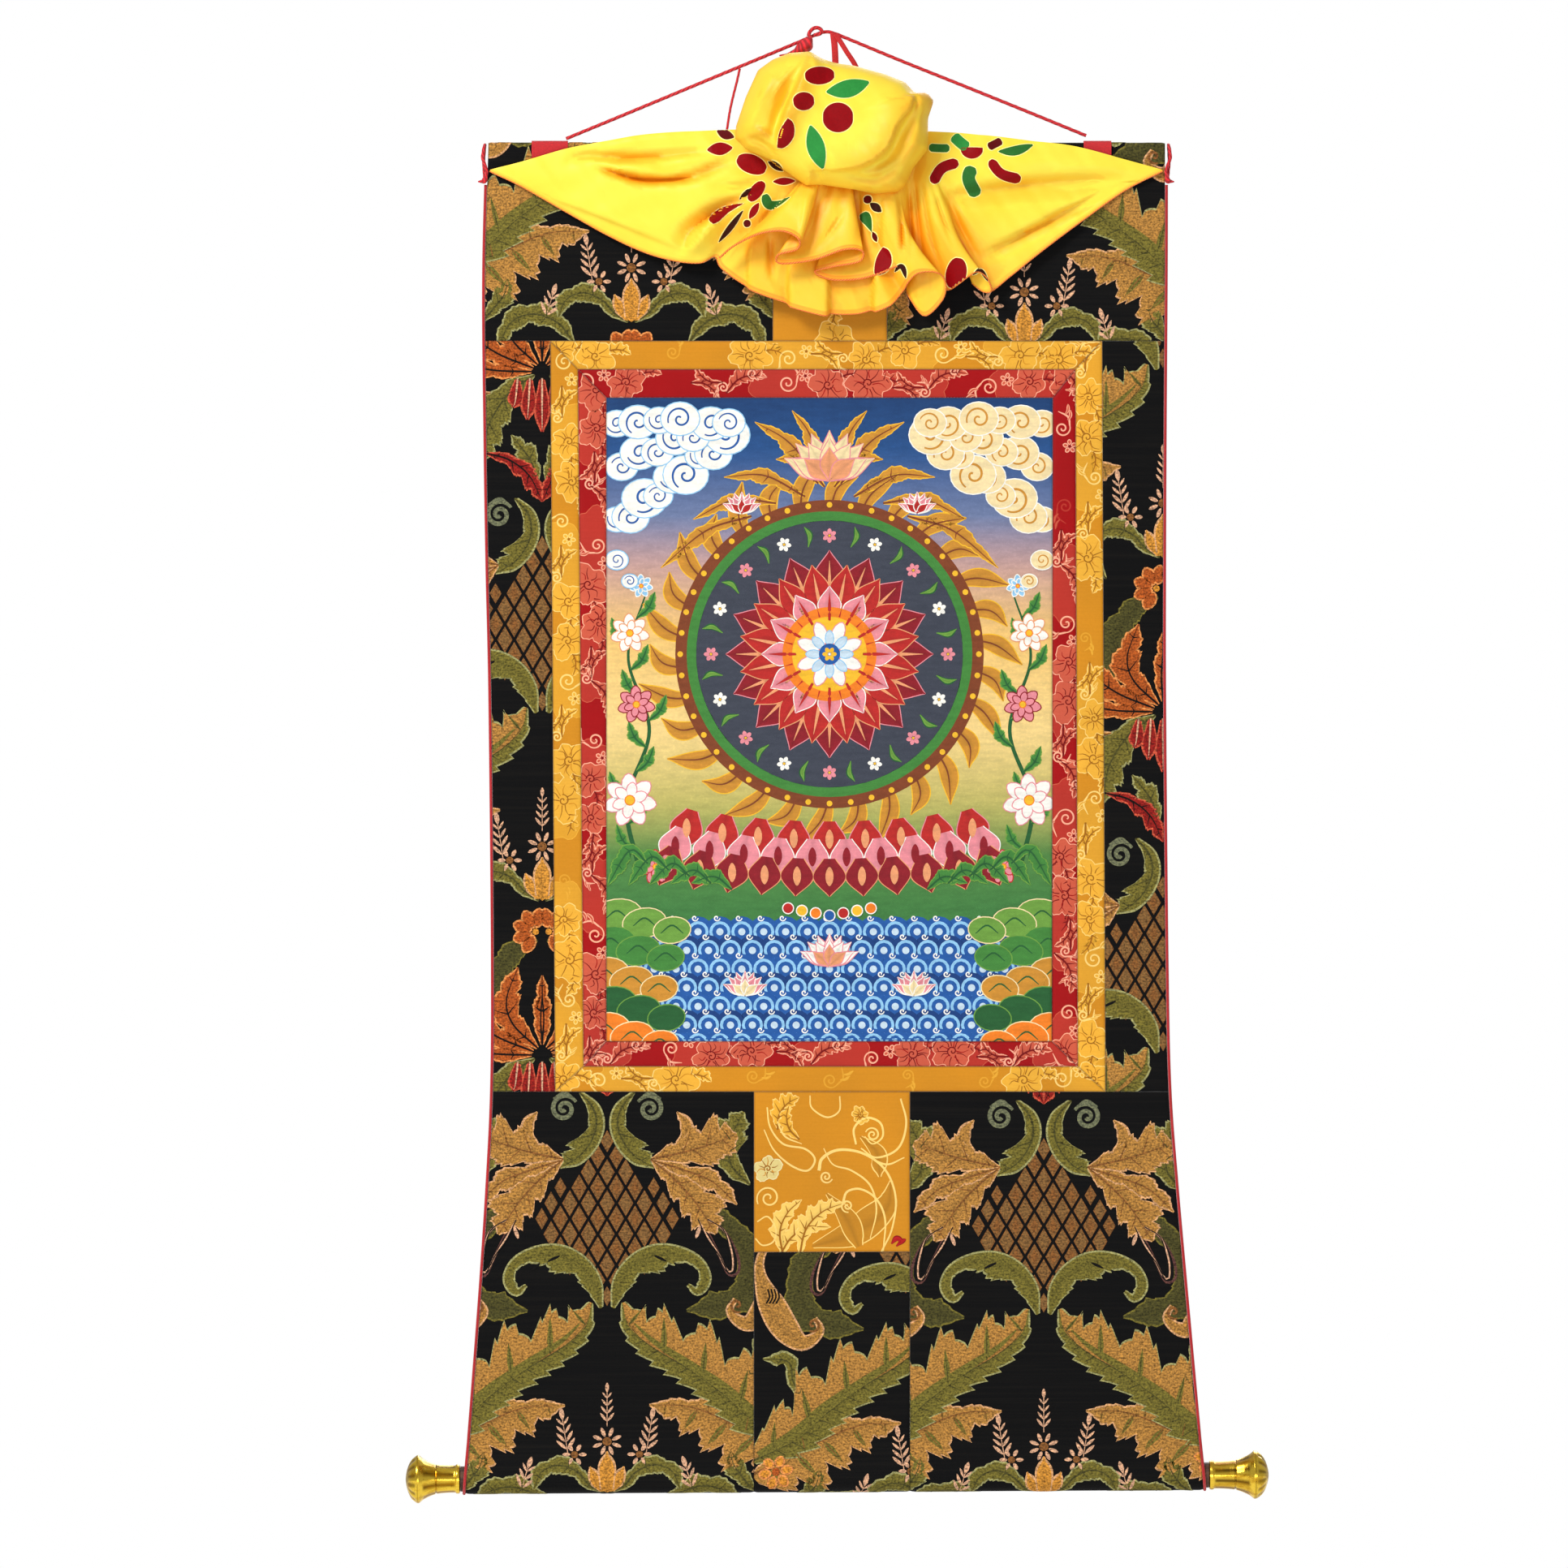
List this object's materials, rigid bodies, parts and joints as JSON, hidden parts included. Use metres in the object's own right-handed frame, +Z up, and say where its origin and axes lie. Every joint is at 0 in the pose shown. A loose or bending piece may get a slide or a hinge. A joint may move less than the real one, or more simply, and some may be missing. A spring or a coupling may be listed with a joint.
{
  "type": "thangka scroll painting with batten and roller",
  "caption": "Hanging scroll painting in a brocade mount with damask borders, a wooden batten and roller with metal knobs, a bunched silk cover and a hanging cord.",
  "frame": {"origin": "the point where the hanging cord goes over its nail", "axes": "+Z up, the front faces -Y, +X to the right seen from the front"},
  "size_m": [0.6806, 0.0832, 1.1648],
  "materials": {
    "brocade": "silk brocade, black ground with olive, tan and rust figures",
    "gold_damask": "gold silk damask, satin",
    "red_damask": "red silk damask with salmon figures",
    "canvas": "painted canvas, matt",
    "silk": "thin yellow silk, soft sheen",
    "red_thread": "red braid and cloth",
    "wood": "plain wood",
    "gold_metal": "polished gold-coloured metal"
  },
  "bodies": {
    "root": {"brocade_upper_left": "brocade", "brocade_upper_right": "brocade", "brocade_side_left": "brocade", "brocade_side_right": "brocade", "brocade_lower_left": "brocade", "brocade_lower_middle": "brocade", "brocade_lower_right": "brocade", "gold_border_top": "gold_damask", "gold_border_bottom": "gold_damask", "gold_border_left": "gold_damask", "gold_border_right": "gold_damask", "gold_strip_upper": "gold_damask", "gold_square_lower": "gold_damask", "red_border_top": "red_damask", "red_border_bottom": "red_damask", "red_border_left": "red_damask", "red_border_right": "red_damask", "picture_panel": "canvas", "silk_cover": "silk", "piping_left": "red_thread", "piping_right": "red_thread", "tab_left": "red_thread", "tab_right": "red_thread", "corner_tie_left": "red_thread", "corner_tie_right": "red_thread", "hanging_cord": "red_thread", "cover_strand": "red_thread", "knot": "red_thread", "top_loop": "red_thread", "ribbon_left": "red_thread", "ribbon_right": "red_thread", "batten": "wood", "roller": "wood", "knob_left": "gold_metal", "knob_right": "gold_metal"}
  },
  "joints": []
}
